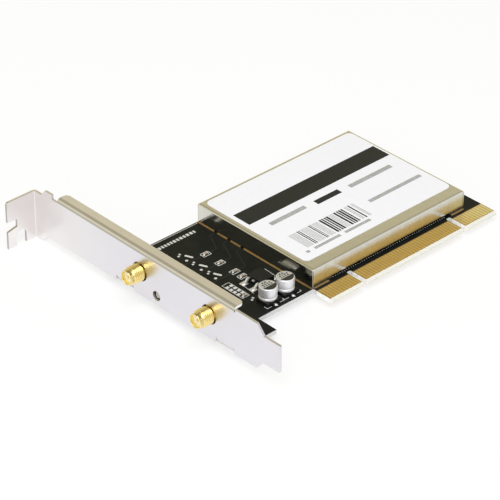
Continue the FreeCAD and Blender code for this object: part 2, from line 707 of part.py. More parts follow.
def make_status_light():
    frame = {"x": plate_x, "y": led_rise, "z": d.led_height}
    lens = new_body("led_lens", **frame)
    section = new_sketch(lens, "XY")
    rim_start = d.led_setback + d.led_length
    add_outline(section, [
        (d.led_setback, 0), (d.led_setback, d.led_diameter / 2 - d.led_chamfer),
        (d.led_setback + d.led_chamfer, d.led_diameter / 2),
        (rim_start, d.led_diameter / 2), (rim_start, d.led_rim / 2),
        (led_rear, d.led_rim / 2), (led_rear, 0)])
    spin(lens, section, "X")

    wires = new_body("led_leads", **frame)
    half = d.wire_size / 2
    wire_end = -d.led_height - d.board_thickness - d.leg_reach
    profile = new_sketch(wires, "XZ", -d.wire_spacing / 2 - half)
    add_outline(profile, [
        (led_rear, -half), (wire_x - d.wire_size, -half, d.wire_bend - d.wire_size),
        (wire_x - d.wire_size, wire_end), (wire_x, wire_end),
        (wire_x, half, d.wire_bend), (led_rear, half)])
    wire = grow(wires, profile, d.wire_size)
    repeat(wires, wire, "Y", d.wire_spacing, LIGHT_WIRES)


# Electrolytic capacitors

def make_capacitor(name, offset):
    frame = {"x": plate_x + offset, "y": d.capacitor_rise}
    half = d.base_size / 2
    base_low = d.terminal_thickness

    base = new_body(f"capacitor_base_{name}", **frame)
    plan = new_sketch(base, "XY", base_low)
    add_outline(plan, [
        (-half, -half), (half, -half), (half, half - d.base_chamfer),
        (half - d.base_chamfer, half), (-half + d.base_chamfer, half),
        (-half, half - d.base_chamfer)])
    grow(base, plan, d.base_height)

    can = new_body(f"capacitor_can_{name}", **frame)
    section = new_sketch(can, "XZ")
    radius = d.can_diameter / 2
    foot = base_low + d.base_height
    crimp = foot + d.crimp_height
    neck = radius - d.crimp_depth
    add_outline(section, [
        (0, foot), (radius, foot), (radius, crimp - d.crimp_depth), (neck, crimp),
        (radius, crimp + d.crimp_depth),
        (radius, d.capacitor_height - d.can_chamfer),
        (radius - d.can_chamfer, d.capacitor_height), (0, d.capacitor_height)])
    spin(can, section, "Z")

    terminals = new_body(f"capacitor_terminals_{name}", **frame)
    strips = new_sketch(terminals, "XY")
    wide = d.terminal_width / 2
    for side in (-1, 1):
        add_outline(strips, rectangle(-wide, d.terminal_inner * side, wide,
                                      (half + d.terminal_reach) * side))
    grow(terminals, strips, d.terminal_thickness)


# Voltage regulator with gull-wing leads

def gull_wing(inner, knee, outer, exit_height, thickness, foot):
    """Side view of a lead that leaves a body at inner, slopes from knee and ends at outer."""
    step = outer - foot
    return [
        (inner, exit_height), (inner, exit_height + thickness),
        (knee + thickness / 2, exit_height + thickness), (step + thickness, thickness),
        (outer, thickness), (outer, 0), (step, 0), (knee - thickness / 2, exit_height)]


def make_regulator():
    frame = {"x": plate_x + d.regulator_offset, "y": d.regulator_rise}
    body = new_body("regulator_body", **frame)
    plan = new_sketch(body, "XY", d.body_lift)
    add_outline(plan, centred(0, 0, d.regulator_width, d.regulator_length))
    grow(body, plan, d.regulator_height - d.body_lift)

    leads = new_body("regulator_leads", **frame)
    inner = d.regulator_width / 2
    wing = gull_wing(inner, inner + d.lead_knee, inner + d.lead_reach, d.lead_exit,
                     d.lead_thickness, d.lead_foot)
    row_sketch = new_sketch(leads, "XZ", -(d.lead_spacing + d.lead_width) / 2)
    add_outline(row_sketch, [(-x, z) for x, z in wing])
    lead = grow(leads, row_sketch, d.lead_width)
    repeat(leads, lead, "Y", d.lead_spacing, REGULATOR_LEADS)
    stub_sketch = new_sketch(leads, "XZ", -d.lead_width / 2)
    add_outline(stub_sketch, rectangle(-inner - d.stub_reach, d.lead_exit,
                                       -inner, d.lead_exit + d.lead_thickness))
    grow(leads, stub_sketch, d.lead_width)
    tab_sketch = new_sketch(leads, "XZ", -d.cooling_width / 2)
    add_outline(tab_sketch, rectangle(inner, 0, inner + d.cooling_reach, d.lead_thickness))
    grow(leads, tab_sketch, d.cooling_width)


# Chip parts with a metal end each side

def make_chip(number, offset, rise):
    frame = {"x": plate_x + offset, "y": rise}
    inner = d.chip_length / 2 - d.chip_end
    body = new_body(f"chip_body_{number}", **frame)
    middle = new_sketch(body, "XY")
    add_outline(middle, centred(0, 0, inner * 2, d.chip_width))
    grow(body, middle, d.chip_height)
    ends = new_body(f"chip_ends_{number}", **frame)
    caps = new_sketch(ends, "XY")
    for side in (-1, 1):
        add_outline(caps, centred((inner + d.chip_end / 2) * side, 0, d.chip_end, d.chip_width))
    grow(ends, caps, d.chip_height)


# Shield can, its solder strips and its label

def top_edges(shape, level):
    """Names of the edges that lie at a level."""
    names = []
    for number, edge in enumerate(shape.Edges, start=1):
        box = edge.BoundBox
        if max(abs(box.ZMin - level), abs(box.ZMax - level)) < LEVEL_TOLERANCE:
            names.append(f"Edge{number}")
    return names


def make_shield():
    frame = {"x": shield_left, "y": shield_front}
    wall = d.shield_sheet
    can = new_body("shield_can", **frame)
    plan = new_sketch(can, "XY")
    add_outline(plan, rectangle(0, 0, shield_length, shield_width))
    block = grow(can, plan, d.shield_height)
    doc.recompute()
    folds = can.newObject("PartDesign::Fillet", "shield_can_folds")
    folds.Base = (block, top_edges(block.Shape, d.shield_height.value))
    set_size(folds, "Radius", d.shield_bend)
    can.Tip = folds
    hollow = new_sketch(can, "XY")
    add_outline(hollow, rectangle(wall, wall, shield_length - wall, shield_width - wall))
    cut(can, hollow, d.shield_height - wall)

    seams = new_sketch(can, "XY")
    for x in (wall, shield_length - wall - d.seam):
        for y in (as_size(0), shield_width - wall):
            add_outline(seams, rectangle(x, y, x + d.seam, y + wall))
    cut(can, seams, d.shield_height - d.shield_bend)

    opening = new_sketch(can, "XZ")
    start, finish = d.cutout_start, shield_length - d.cutout_finish
    add_outline(opening, [
        (start, 0), (finish, 0), (finish - d.cutout_slant, d.cutout_height),
        (start + d.cutout_slant, d.cutout_height)])
    cut(can, opening, wall)

    feeds = new_sketch(can, "YZ")
    for i in range(FEED_OPENINGS):
        middle = shield_width - d.feed_drop - d.feed_pitch * i
        add_outline(feeds, rectangle(middle - d.feed_width / 2, 0,
                                     middle + d.feed_width / 2, d.feed_height))
    cut(can, feeds, wall)

    strips = new_body("shield_ground_pads", **frame)
    lines = new_sketch(strips, "XY")
    top = shield_width
    for i in range(FEED_OPENINGS):
        middle = shield_width - d.feed_drop - d.feed_pitch * i
        add_outline(lines, rectangle(-d.ground_width, middle + d.feed_width / 2, 0, top))
        top = middle - d.feed_width / 2
    add_outline(lines, rectangle(-d.ground_width, 0, 0, top))
    on_connector = connector_left - shield_left + d.ground_width
    add_outline(lines, rectangle(on_connector, -d.ground_width, start, 0))
    add_outline(lines, rectangle(finish, -d.ground_width, shield_length, 0))
    add_outline(lines, rectangle(shield_length, 0, shield_length + d.ground_width, shield_width))
    grow(strips, lines, d.ground_thickness)

    label = new_body("shield_label", z=d.shield_height, **frame)
    paper = new_sketch(label, "XY")
    add_outline(paper, rectangle(d.label_near, d.label_front, shield_length - d.label_far,
                                 shield_width - d.label_rear, d.label_corner))
    grow(label, paper, d.label_thickness)


# Pieces under the shield can

def make_flat_chip(label, inset, rise, size, height):
    chip = new_body(label, x=shield_left + inset, y=shield_front + rise)
    plan = new_sketch(chip, "XY")
    add_outline(plan, centred(0, 0, size, size))
    grow(chip, plan, height)


def make_radio_parts():
    make_flat_chip("radio_chip", d.radio_inset, d.radio_rise, d.radio_size, d.radio_height)
    make_flat_chip("network_processor", d.processor_inset, d.processor_rise,
                   d.processor_size, d.processor_height)

    crystal = new_body("reference_crystal", x=shield_left + d.crystal_inset,
                       y=shield_front + d.radio_rise)
    plan = new_sketch(crystal, "XY")
    add_outline(plan, centred(0, 0, d.crystal_width, d.crystal_length, d.crystal_rounding))
    grow(crystal, plan, d.crystal_height)

    frame = {"x": shield_left + d.memory_inset, "y": shield_front + d.processor_rise}
    memory = new_body("memory_chip", **frame)
    plan = new_sketch(memory, "XY", d.body_lift)
    add_outline(plan, centred(0, 0, d.memory_width, d.memory_length))
    grow(memory, plan, d.memory_height - d.body_lift)
    leads = new_body("memory_leads", **frame)
    outer = d.memory_span / 2
    wing = gull_wing(d.memory_width / 2, outer - d.memory_lead_foot, outer, d.memory_lead_exit,
                     d.memory_lead_thickness, d.memory_lead_foot)
    first = d.memory_pitch * (MEMORY_LEADS_PER_ROW - 1) / 2
    for side in (-1, 1):
        sketch = new_sketch(leads, "XZ", -first - d.memory_lead_width / 2)
        add_outline(sketch, [(x * side, z) for x, z in wing])
        lead = grow(leads, sketch, d.memory_lead_width)
        repeat(leads, lead, "Y", d.memory_pitch, MEMORY_LEADS_PER_ROW)


def make_chips():
    antenna_lines = [(d.chip_offset, d.chip_rise + d.chip_pitch * i) for i in range(FEED_OPENINGS)]
    supply = (d.chip_offset, d.chip_rise - d.supply_chip_drop)
    strap = (d.strap_chip_offset, d.strap_chip_rise)
    for number, (offset, rise) in enumerate([*antenna_lines, supply, strap], start=1):
        make_chip(number, offset, rise)


def check_document():
    for obj in doc.Objects:
        if "Invalid" in obj.State or "Error" in obj.State:
            raise RuntimeError(f"{obj.Label} failed: {obj.State}")
    for part in sub_parts:
        if part.Shape.isNull() or not part.Shape.isValid() or not part.Shape.Solids:
            raise RuntimeError(f"{part.Label} has no valid solid")


make_circuit_board()
make_contacts("contacts_component_side", 0)
make_contacts("contacts_solder_side", solder_face - d.contact_thickness)
make_bracket()
make_bracket_screws()
for jack_name, jack_rise in jack_rises.items():
    make_jack(jack_name, jack_rise)
make_status_light()
for capacitor_name, capacitor_offset in capacitor_places.items():
    make_capacitor(capacitor_name, capacitor_offset)
make_regulator()
make_chips()
make_shield()
make_radio_parts()
doc.recompute()
check_document()

os.makedirs("parts", exist_ok=True)
for part in sub_parts:
    part.Shape.exportStep(f"parts/{part.Label}.step")
    print(part.Label, len(part.Shape.Solids), round(part.Shape.Volume, 2), part.Shape.BoundBox)
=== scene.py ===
import json
import math
import random

import bpy
from mathutils import Matrix, Vector


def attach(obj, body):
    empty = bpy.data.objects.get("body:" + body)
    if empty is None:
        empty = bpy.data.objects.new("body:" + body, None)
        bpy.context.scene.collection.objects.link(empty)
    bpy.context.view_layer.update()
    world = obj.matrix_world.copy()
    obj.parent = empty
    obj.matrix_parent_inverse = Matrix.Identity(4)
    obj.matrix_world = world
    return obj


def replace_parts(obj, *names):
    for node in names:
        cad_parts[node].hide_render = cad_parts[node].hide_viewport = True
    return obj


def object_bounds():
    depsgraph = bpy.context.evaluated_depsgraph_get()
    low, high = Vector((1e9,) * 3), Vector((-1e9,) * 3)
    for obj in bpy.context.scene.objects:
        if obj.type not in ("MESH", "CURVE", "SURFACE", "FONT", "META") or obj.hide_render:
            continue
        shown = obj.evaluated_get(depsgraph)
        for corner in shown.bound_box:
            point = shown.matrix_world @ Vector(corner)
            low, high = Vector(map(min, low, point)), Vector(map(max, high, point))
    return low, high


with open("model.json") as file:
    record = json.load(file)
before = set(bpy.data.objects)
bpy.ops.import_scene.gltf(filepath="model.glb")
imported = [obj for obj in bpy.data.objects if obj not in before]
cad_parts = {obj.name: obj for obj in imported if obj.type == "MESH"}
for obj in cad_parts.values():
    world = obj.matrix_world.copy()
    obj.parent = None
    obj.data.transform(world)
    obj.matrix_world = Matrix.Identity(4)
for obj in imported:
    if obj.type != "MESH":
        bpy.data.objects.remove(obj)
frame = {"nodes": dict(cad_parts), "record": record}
cad_low, cad_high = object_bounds()
nodes = frame["nodes"]

# Places of the solids in millimetres, in the same frame
MM = 0.001
BOARD_BACK = -1.6
CONNECTOR_TOP, CONNECTOR_REACH = 7.35, 40.1
CONTACT_PITCH = 1.27
KEY_X = 19 * CONTACT_PITCH
PLATE_X = -83.075
EAR_X = PLATE_X - 1.5
FOLD_Z = 15.3
FLANGE_START, FLANGE_END = 0.6, 87.9
JACKS = {"lower": 12.5, "upper": 45.9}
JACK_Z = 8.35
JACK_PIN_X = PLATE_X + 4.96
LIGHT = (PLATE_X, 37.75, 2.7)
LIGHT_LEAD_X, LIGHT_LEAD_OFFSET = PLATE_X + 7.7, 1.27
CAPACITORS = {"near": (-55.105, 14.58), "far": (-47.305, 14.58)}
CAPACITOR_TERMINAL = 3.85
REGULATOR = (-49.075, 24.4)
REGULATOR_PITCH = 2.285
ANTENNA_CHIPS = [(-51.875, 34.0), (-51.875, 41.15), (-51.875, 48.3)]
SUPPLY_CHIP = (-51.875, 30.2)
STRAP_CHIP = (-59.175, 21.4)
CHIP_END = 0.85
LABEL_TOP = 7.575

# Prints: height over the face below, and levels that keep overlapping outlines apart
INK = 0.012
PRINT_LEVELS = 5

random.seed(11)


# Materials

# Numbered sockets of the colour mix node: factor and both colours, then the result
MIX_INPUTS = (0, 6, 7)
MIX_RESULT = 2
BEVEL_SAMPLES = 6

# A normal counts as square to an axis from these shares of its length
SQUARE_FACE = 0.98
SQUARE_SIDE = 0.9


class Finish:
    """A procedural material, built round one Principled shader."""

    def __init__(self, name):
        self.material = bpy.data.materials.new(name)
        self.material.use_nodes = True
        self.tree = self.material.node_tree
        self.surface = self.tree.nodes["Principled BSDF"]
        self.place = self.node("ShaderNodeTexCoord").outputs["Object"]

    def node(self, kind, **settings):
        made = self.tree.nodes.new(kind)
        for key, value in settings.items():
            setattr(made, key, value)
        return made

    def put(self, target, value):
        """Links a socket to the target, or sets the target to a plain value."""
        if isinstance(value, bpy.types.NodeSocket):
            self.tree.links.new(value, target)
        else:
            target.default_value = value

    def set(self, **values):
        for key, value in values.items():
            self.put(self.surface.inputs[key.replace("_", " ")], value)

    def source(self, key):
        """What is linked to an input of the shader."""
        return self.surface.inputs[key].links[0].from_socket

    def math(self, operation, first, second=0.0):
        made = self.node("ShaderNodeMath", operation=operation)
        self.put(made.inputs[0], first)
        self.put(made.inputs[1], second)
        return made.outputs[0]

    def noise(self, scale, detail=3.0, stretch=(1, 1, 1)):
        mapping = self.node("ShaderNodeMapping")
        self.put(mapping.inputs["Vector"], self.place)
        mapping.inputs["Scale"].default_value = stretch
        made = self.node("ShaderNodeTexNoise")
        self.put(made.inputs["Vector"], mapping.outputs[0])
        made.inputs["Scale"].default_value = scale
        made.inputs["Detail"].default_value = detail
        return made.outputs["Fac"]

    def span(self, factor, low, high, start=0.3, end=0.7):
        """A value from low to high while the factor goes from start to end."""
        made = self.node("ShaderNodeMapRange")
        for key, value in (("Value", factor), ("From Min", start), ("From Max", end),
                           ("To Min", low), ("To Max", high)):
            self.put(made.inputs[key], value)
        return made.outputs[0]

    def blend(self, factor, first, second):
        made = self.node("ShaderNodeMix", data_type="RGBA")
        for number, value in zip(MIX_INPUTS, (factor, first, second)):
            self.put(made.inputs[number], value)
        return made.outputs[MIX_RESULT]

    def mottle(self, color, amount, scale, stretch=(1, 1, 1)):
        """A colour that wanders a little round the one given."""
        dark = (*[c * (1 - amount) for c in color], 1)
        light = (*[min(1, c * (1 + amount)) for c in color], 1)
        return self.blend(self.span(self.noise(scale, stretch=stretch), 0, 1), dark, light)

    def axes(self, vector):
        """The three numbers of a vector, by name."""
        made = self.node("ShaderNodeSeparateXYZ")
        self.put(made.inputs[0], vector)
        return made.outputs

    def facing(self, kind="True Normal"):
        return self.axes(self.node("ShaderNodeNewGeometry").outputs[kind])

    def square_to(self, number, share):
        """One where a normal's number shows that the face is square to that axis."""
        return self.math("GREATER_THAN", self.math("ABSOLUTE", number), share)

    def relief(self, scale, depth, stretch=(1, 1, 1), soften=0.0, lean=None):
        """Fine bumps, over edges softened by a small radius and leaned upward by a share."""
        bump = self.node("ShaderNodeBump")
        bump.inputs["Strength"].default_value = 1.0
        bump.inputs["Distance"].default_value = depth * MM
        self.put(bump.inputs["Height"], self.noise(scale, stretch=stretch))
        if soften:
            edge = self.node("ShaderNodeBevel", samples=BEVEL_SAMPLES)
            edge.inputs["Radius"].default_value = soften * MM
            normal = edge.outputs[0]
            if lean:
                rise = self.node("ShaderNodeCombineXYZ")
                self.put(rise.inputs["Z"], lean)
                leaned = self.node("ShaderNodeVectorMath", operation="ADD")
                self.put(leaned.inputs[0], normal)
                self.put(leaned.inputs[1], rise.outputs[0])
                normal = leaned.outputs[0]
            self.put(bump.inputs["Normal"], normal)
        self.set(Normal=bump.outputs[0])


def plain_finish(name, color, roughness, specular=0.5, amount=0.06, scale=900, depth=0.004,
                 soften=0.0):
    made = Finish(name)
    made.set(Base_Color=made.mottle(color, amount, scale),
             Roughness=made.span(made.noise(scale * 2), roughness * 0.9, roughness * 1.1),
             Specular_IOR_Level=specular)
    made.relief(scale * 3, depth, soften=soften)
    return made


def metal_finish(name, color, roughness, amount=0.03, scale=300, depth=0.002, stretch=(1, 1, 1),
                 soften=0.0, metallic=1.0):
    made = Finish(name)
    made.set(Base_Color=made.mottle(color, amount, scale, stretch), Metallic=metallic,
             Roughness=made.span(made.noise(scale * 2, stretch=stretch),
                                 roughness * 0.85, roughness * 1.15))
    made.relief(scale * 4, depth, stretch, soften)
    return made


def board_finish():
    """Black solder mask, bare laminate between the edge contacts, pale cut edges; the key slots'
    walls are paler still, painted light over their shade.
    """
    made = Finish("board")
    spot, facing = made.axes(made.place), made.facing()
    on_face = made.square_to(facing["Z"], SQUARE_FACE)
    near_edge = made.math("LESS_THAN", spot["Y"], CONNECTOR_TOP * MM)
    in_reach = made.math("LESS_THAN", made.math("ABSOLUTE", spot["X"]), CONNECTOR_REACH * MM)
    on_connector = made.math("MULTIPLY", near_edge, in_reach)
    mask = made.mottle((0.0090, 0.0105, 0.0085), 0.25, 160)
    laminate = made.mottle((0.33, 0.20, 0.06), 0.12, 700)
    sawn = made.mottle((0.68, 0.68, 0.695), 0.05, 1200, (1, 1, 6))
    bevelled = made.mottle((0.78, 0.77, 0.70), 0.03, 1200)
    # Slot walls: a paler copy of the cut-edge colour, painted light over the shade in the narrow
    # slots
    slot_wall_painted_light = made.mottle((0.97, 0.97, 0.94), 0.02, 1200)
    in_slot = made.square_to(facing["X"], SQUARE_SIDE)
    cut_edge = made.blend(on_connector, sawn, made.blend(in_slot, bevelled, slot_wall_painted_light))
    face = made.blend(on_connector, mask, laminate)
    made.set(Base_Color=made.blend(on_face, cut_edge, face),
             Roughness=made.span(made.noise(500), 0.38, 0.50), Specular_IOR_Level=0.11)
    made.relief(2600, 0.003)
    return made


def bracket_finish():
    """Satin nickel plate: cool along the plate, with a painted reflection that makes it warmer and
    brighter toward the ear, a painted dark reflection in the fold's bend, a painted highlight on
    the top beyond the bend, and dark on the ear's sheared end."""
    made = Finish("bracket_steel")
    spot, facing = made.axes(made.place), made.facing()
    tint_start, tint_end = 55, 100
    crease_end, crease_fade = FOLD_Z + 0.65, 0.2
    # Toward the ear a warmer, brighter copy of the plate colour: a painted reflection
    near_ear = made.span(spot["Y"], 0.0, 1.0, tint_start * MM, tint_end * MM)
    cool = made.mottle((0.78, 0.765, 0.80), 0.012, 60)
    warm = made.mottle((0.88, 0.845, 0.835), 0.03, 90)
    # Above the fold: a painted dark reflection in the bend, then a paler copy of the plate on the
    # top as a painted highlight
    flange_painted_highlight = made.mottle((0.95, 0.93, 0.945), 0.02, 200)
    crease_painted_reflection = made.mottle((0.50, 0.48, 0.415), 0.02, 200)
    sheared = made.mottle((0.46, 0.43, 0.40), 0.06, 900)
    in_fold = made.span(spot["Z"], 0.0, 1.0, FOLD_Z * MM, (FOLD_Z + crease_fade) * MM)
    past_fold = made.span(spot["Z"], 0.0, 1.0, crease_end * MM, (crease_end + crease_fade) * MM)
    by_flange = made.math("MULTIPLY", made.math("LESS_THAN", spot["Y"], FLANGE_END * MM),
                          made.math("GREATER_THAN", spot["Y"], FLANGE_START * MM))
    color = made.blend(near_ear, cool, warm)
    painted_fold_light = made.blend(past_fold, crease_painted_reflection, flange_painted_highlight)
    color = made.blend(made.math("MULTIPLY", in_fold, by_flange), color, painted_fold_light)
    on_ear = made.math("LESS_THAN", spot["X"], EAR_X * MM)
    on_end = made.square_to(facing["X"], SQUARE_SIDE)
    color = made.blend(made.math("MULTIPLY", on_ear, on_end), color, sheared)
    made.set(Base_Color=color, Metallic=1.0, Roughness=made.span(made.noise(25, 1.0), 0.279, 0.30))
    made.relief(900, 0.0002, soften=0.12)
    return made


def contact_finish():
    """Gold flash on the edge contacts, with a painted highlight that pales it toward the far end.
    """
    made = metal_finish("gold", (0.89, 0.615, 0.177), 0.33, metallic=0.85)
    pale_start, pale_end = 20, 34
    # Paler gold toward the far end: a painted highlight
    far = made.span(made.axes(made.place)["X"], 0.0, 1.0, pale_start * MM, pale_end * MM)
    paler_end_painted_highlight = made.mottle((0.98, 0.86, 0.43), 0.02, 300)
    made.set(Base_Color=made.blend(far, made.source("Base Color"), paler_end_painted_highlight))
    return made


def jack_finish():
    """Gold flash under a clear passivation that pales it toward the edges."""
    made = metal_finish("jack_gold", (0.915, 0.745, 0.305), 0.15, 0.04, 400)
    made.set(Coat_Weight=0.3, Coat_IOR=1.9, Coat_Roughness=0.12)
    return made


def shield_finish():
    """Tinplate: mirror-like, with fine marks that run up the walls and along the top. The front
    wall is a little duller and its shading leans back toward the fold. Folds carry a painted
    highlight."""
    made = Finish("shield_tin")
    facing = made.facing("Normal")
    front = made.math("MAXIMUM", made.math("MULTIPLY", facing["Y"], -1.0), 0.0)
    dulled = made.math("MULTIPLY", front, 0.07)

    # Painted highlight: nothing on the top and on the walls, most where a fold leans by 30 degrees
    flat = made.math("MAXIMUM", facing["Z"], 0.0)
    steep = made.math("SQRT", made.math("SUBTRACT", 1.0, made.math("MULTIPLY", flat, flat)))
    shallow = made.math("MULTIPLY", made.math("POWER", flat, 3.0), 3.0)
    fold_painted_highlight = made.math("MULTIPLY", steep, shallow)

    tinned = made.mottle((0.69, 0.68, 0.615), 0.03, 500, (1, 1, 0.05))
    # Paler tin colour laid on the folds as a painted highlight
    highlight_tin = made.mottle((0.98, 0.96, 0.86), 0.02, 500, (1, 1, 0.05))
    grain = made.span(made.noise(1800, stretch=(1, 1, 0.03)), 0.13, 0.20)
    made.set(Base_Color=made.blend(fold_painted_highlight, tinned, highlight_tin), Metallic=1.0,
             Roughness=made.math("ADD", grain, dulled))
    lean_start, lean_end, most_lean = 2.2, 5.5, 0.074
    rise = made.axes(made.place)["Z"]
    lean = made.span(rise, 0.0, most_lean, lean_start * MM, lean_end * MM)
    made.relief(5200, 0.0022, (1, 1, 0.02), soften=0.15, lean=made.math("MULTIPLY", front, lean))
    return made


FINISHES = {
    "board": board_finish(),
    "gold": contact_finish(),
    "bracket_steel": bracket_finish(),
    "screw_steel": metal_finish("screw_steel", (0.70, 0.69, 0.67), 0.33, soften=0.25),
    "jack_gold": jack_finish(),
    # The insulator's cream is tinted yellow: a painted reflection of the gold bore round it
    "insulator": plain_finish("insulator", (0.97, 0.92, 0.70), 0.45),
    "lens": plain_finish("lens", (0.42, 0.40, 0.34), 0.12),
    "tin": metal_finish("tin", (0.95, 0.94, 0.91), 0.38, 0.05, 900, 0.004, soften=0.05,
                        metallic=0.7),
    "can_aluminium": metal_finish("can_aluminium", (0.86, 0.86, 0.89), 0.42, 0.02, 700, 0.003,
                                  (1, 1, 0.1), metallic=0.6),
    "black_plastic": plain_finish("black_plastic", (0.0095, 0.0095, 0.0085), 0.42, 0.2, 0.2,
                                  soften=0.08),
    "chip_ceramic": plain_finish("chip_ceramic", (0.38, 0.28, 0.20), 0.5, soften=0.05),
    "shield_tin": shield_finish(),
    "copper_pad": metal_finish("copper_pad", (0.56, 0.36, 0.16), 0.35, 0.15, 900, 0.006),
    "label_paper": plain_finish("label_paper", (0.885, 0.888, 0.945), 0.45, 0.4, 0.01, 500, 0.002),
    "crystal_metal": metal_finish("crystal_metal", (0.75, 0.74, 0.70), 0.30),
}
LABEL_INK = plain_finish("label_ink", (0.0105, 0.0128, 0.0128), 0.40, 0.27, 0.18, 700)
LABEL_GREY = plain_finish("label_grey", (0.40, 0.40, 0.40), 0.45, 0.4, 0.15, 900)
BOARD_INK = plain_finish("board_ink", (0.66, 0.66, 0.63), 0.55, 0.3, 0.18, 2600)
VIA_RING = plain_finish("via_ring", (0.92, 0.92, 0.90), 0.5, 0.5, 0.05, 2600)
TRACE = plain_finish("trace", (0.0113, 0.0128, 0.0105), 0.40, 0.2, 0.15, 900)
SOLDER = metal_finish("solder", (0.86, 0.86, 0.83), 0.34, 0.08, 1500, 0.010, metallic=0.8)
CAN_TOP = metal_finish("can_top", (0.65, 0.65, 0.65), 0.38, 0.06, 900, 0.003, metallic=0.6)
CAN_INK = plain_finish("can_ink", (0.022, 0.023, 0.020), 0.38, 0.4, 0.18, 900)

NODE_SLOTS = {row["node"]: row["material_slot"] for row in frame["record"]["subparts"]}
for node_name, node in nodes.items():
    node.data.materials.clear()
    node.data.materials.append(FINISHES[NODE_SLOTS[node_name]].material)


# Pieces

# Radius that closes a turned form on its axis
ON_AXIS = 0.001
SIDES = (-1, 1)


class Form:
    """Corners and faces of one piece, in millimetres."""

    def __init__(self):
        self.corners = []
        self.faces = []

    def add(self, corners, faces):
        start = len(self.corners)
        self.corners += [tuple(c) for c in corners]
        self.faces += [tuple(start + i for i in face) for face in faces]
        return self

    def flat(self, outline, level, up=True):
        count = len(outline)
        order = range(count) if up else range(count - 1, -1, -1)
        return self.add([(x, y, level) for x, y in outline], [tuple(order)])

    def prism(self, outline, low, high, place=lambda x, y, z: (x, y, z)):
        """An outline pushed from low to high along its third axis."""
        count = len(outline)
        corners = [place(x, y, level) for level in (low, high) for x, y in outline]
        faces = [(i, (i + 1) % count, count + (i + 1) % count, count + i) for i in range(count)]
        faces += [tuple(range(count - 1, -1, -1)), tuple(range(count, 2 * count))]
        return self.add(corners, faces)

    def turned(self, profile, place, segments):
        """A (radius, along) profile turned round an axis; place maps (u, v, along)."""
        rings = [self.ring(radius, along, place, segments) for radius, along in profile]
        return self.skin(rings)

    @staticmethod
    def ring(radius, along, place, segments):
        turn = 2 * math.pi / segments
        return [place(radius * math.cos(i * turn), radius * math.sin(i * turn), along)
                for i in range(segments)]

    def skin(self, rings):
        """Faces from each ring of corners to the next."""
        count = len(rings[0])
        faces = [(r * count + i, r * count + (i + 1) % count,
                  (r + 1) * count + (i + 1) % count, (r + 1) * count + i)
                 for r in range(len(rings) - 1) for i in range(count)]
        return self.add([corner for ring in rings for corner in ring], faces)

    def piece(self, name, finish, slot, smooth=True, sharp=35):
        """The form as an object; edges bent by more than sharp degrees stay sharp."""
        mesh = bpy.data.meshes.new(name)
        mesh.from_pydata([(x * MM, y * MM, z * MM) for x, y, z in self.corners], [], self.faces)
        mesh.validate()
        mesh.polygons.foreach_set("use_smooth", [smooth] * len(mesh.polygons))
        if smooth:
            mesh.set_sharp_from_angle(angle=math.radians(sharp))
        mesh.materials.append(finish.material)
        made = bpy.data.objects.new(name, mesh)
        bpy.context.scene.collection.objects.link(made)
        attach(made, "root")
        return made


def rounded(points, steps=6):
    """A line through points, with an arc where a point has a third number, its radius."""
    line = []
    for i, point in enumerate(points):
        corner = Vector(point[:2])
        if len(point) == 2:
            line.append(tuple(corner))
            continue
        radius = point[2]
        back = (Vector(points[i - 1][:2]) - corner).normalized()
        ahead = (Vector(points[(i + 1) % len(points)][:2]) - corner).normalized()
        half = back.angle(ahead) / 2
        middle = corner + (back + ahead).normalized() * (radius / math.sin(half))
        start = corner + back * (radius / math.tan(half)) - middle
        end = corner + ahead * (radius / math.tan(half)) - middle
        for step in range(steps + 1):
            ray = start.normalized().slerp(end.normalized(), step / steps)
            line.append(tuple(middle + ray * radius))
    return line


def rect(x0, y0, x1, y1):
    return [(x0, y0), (x1, y0), (x1, y1), (x0, y1)]


def block(x, y, half_x, half_y):
    """A rectangle round its middle."""
    return rect(x - half_x, y - half_y, x + half_x, y + half_y)


def bar(start, end, width):
    """A straight stroke as an outline."""
    start, end = Vector(start), Vector(end)
    side = (end - start).orthogonal().normalized() * (width / 2)
    return [tuple(start - side), tuple(end - side), tuple(end + side), tuple(start + side)]


def route(points, width):
    """Straight strokes from each point to the next."""
    return [bar(start, end, width) for start, end in zip(points, points[1:])]


def pill(start, end, width, steps=8):
    """A stroke with round ends."""
    start, end = Vector(start), Vector(end)
    along = (end - start).normalized() * (width / 2)
    outline = []
    for middle, first in ((end, -90), (start, 90)):
        for step in range(steps + 1):
            turn = Matrix.Rotation(math.radians(first + step * 180 / steps), 2)
            outline.append(tuple(middle + turn @ along))
    return outline


def disc(middle, radius, count=24):
    turn = 2 * math.pi / count
    return [(middle[0] + radius * math.cos(i * turn), middle[1] + radius * math.sin(i * turn))
            for i in range(count)]


def frame_strokes(corners, width):
    """Strokes round a closed outline."""
    return route(corners + corners[:1], width)


def printed(name, outlines, level, finish, slot, up=True):
    form = Form()
    for number, outline in enumerate(outlines):
        form.flat(outline, level + number % PRINT_LEVELS * INK / (PRINT_LEVELS + 1), up)
    return form.piece(name, finish, slot, smooth=False)


# Antenna jacks: threaded barrel with its socket, and the body that stands on the board.
# Places along a barrel count from the plate's outer face.

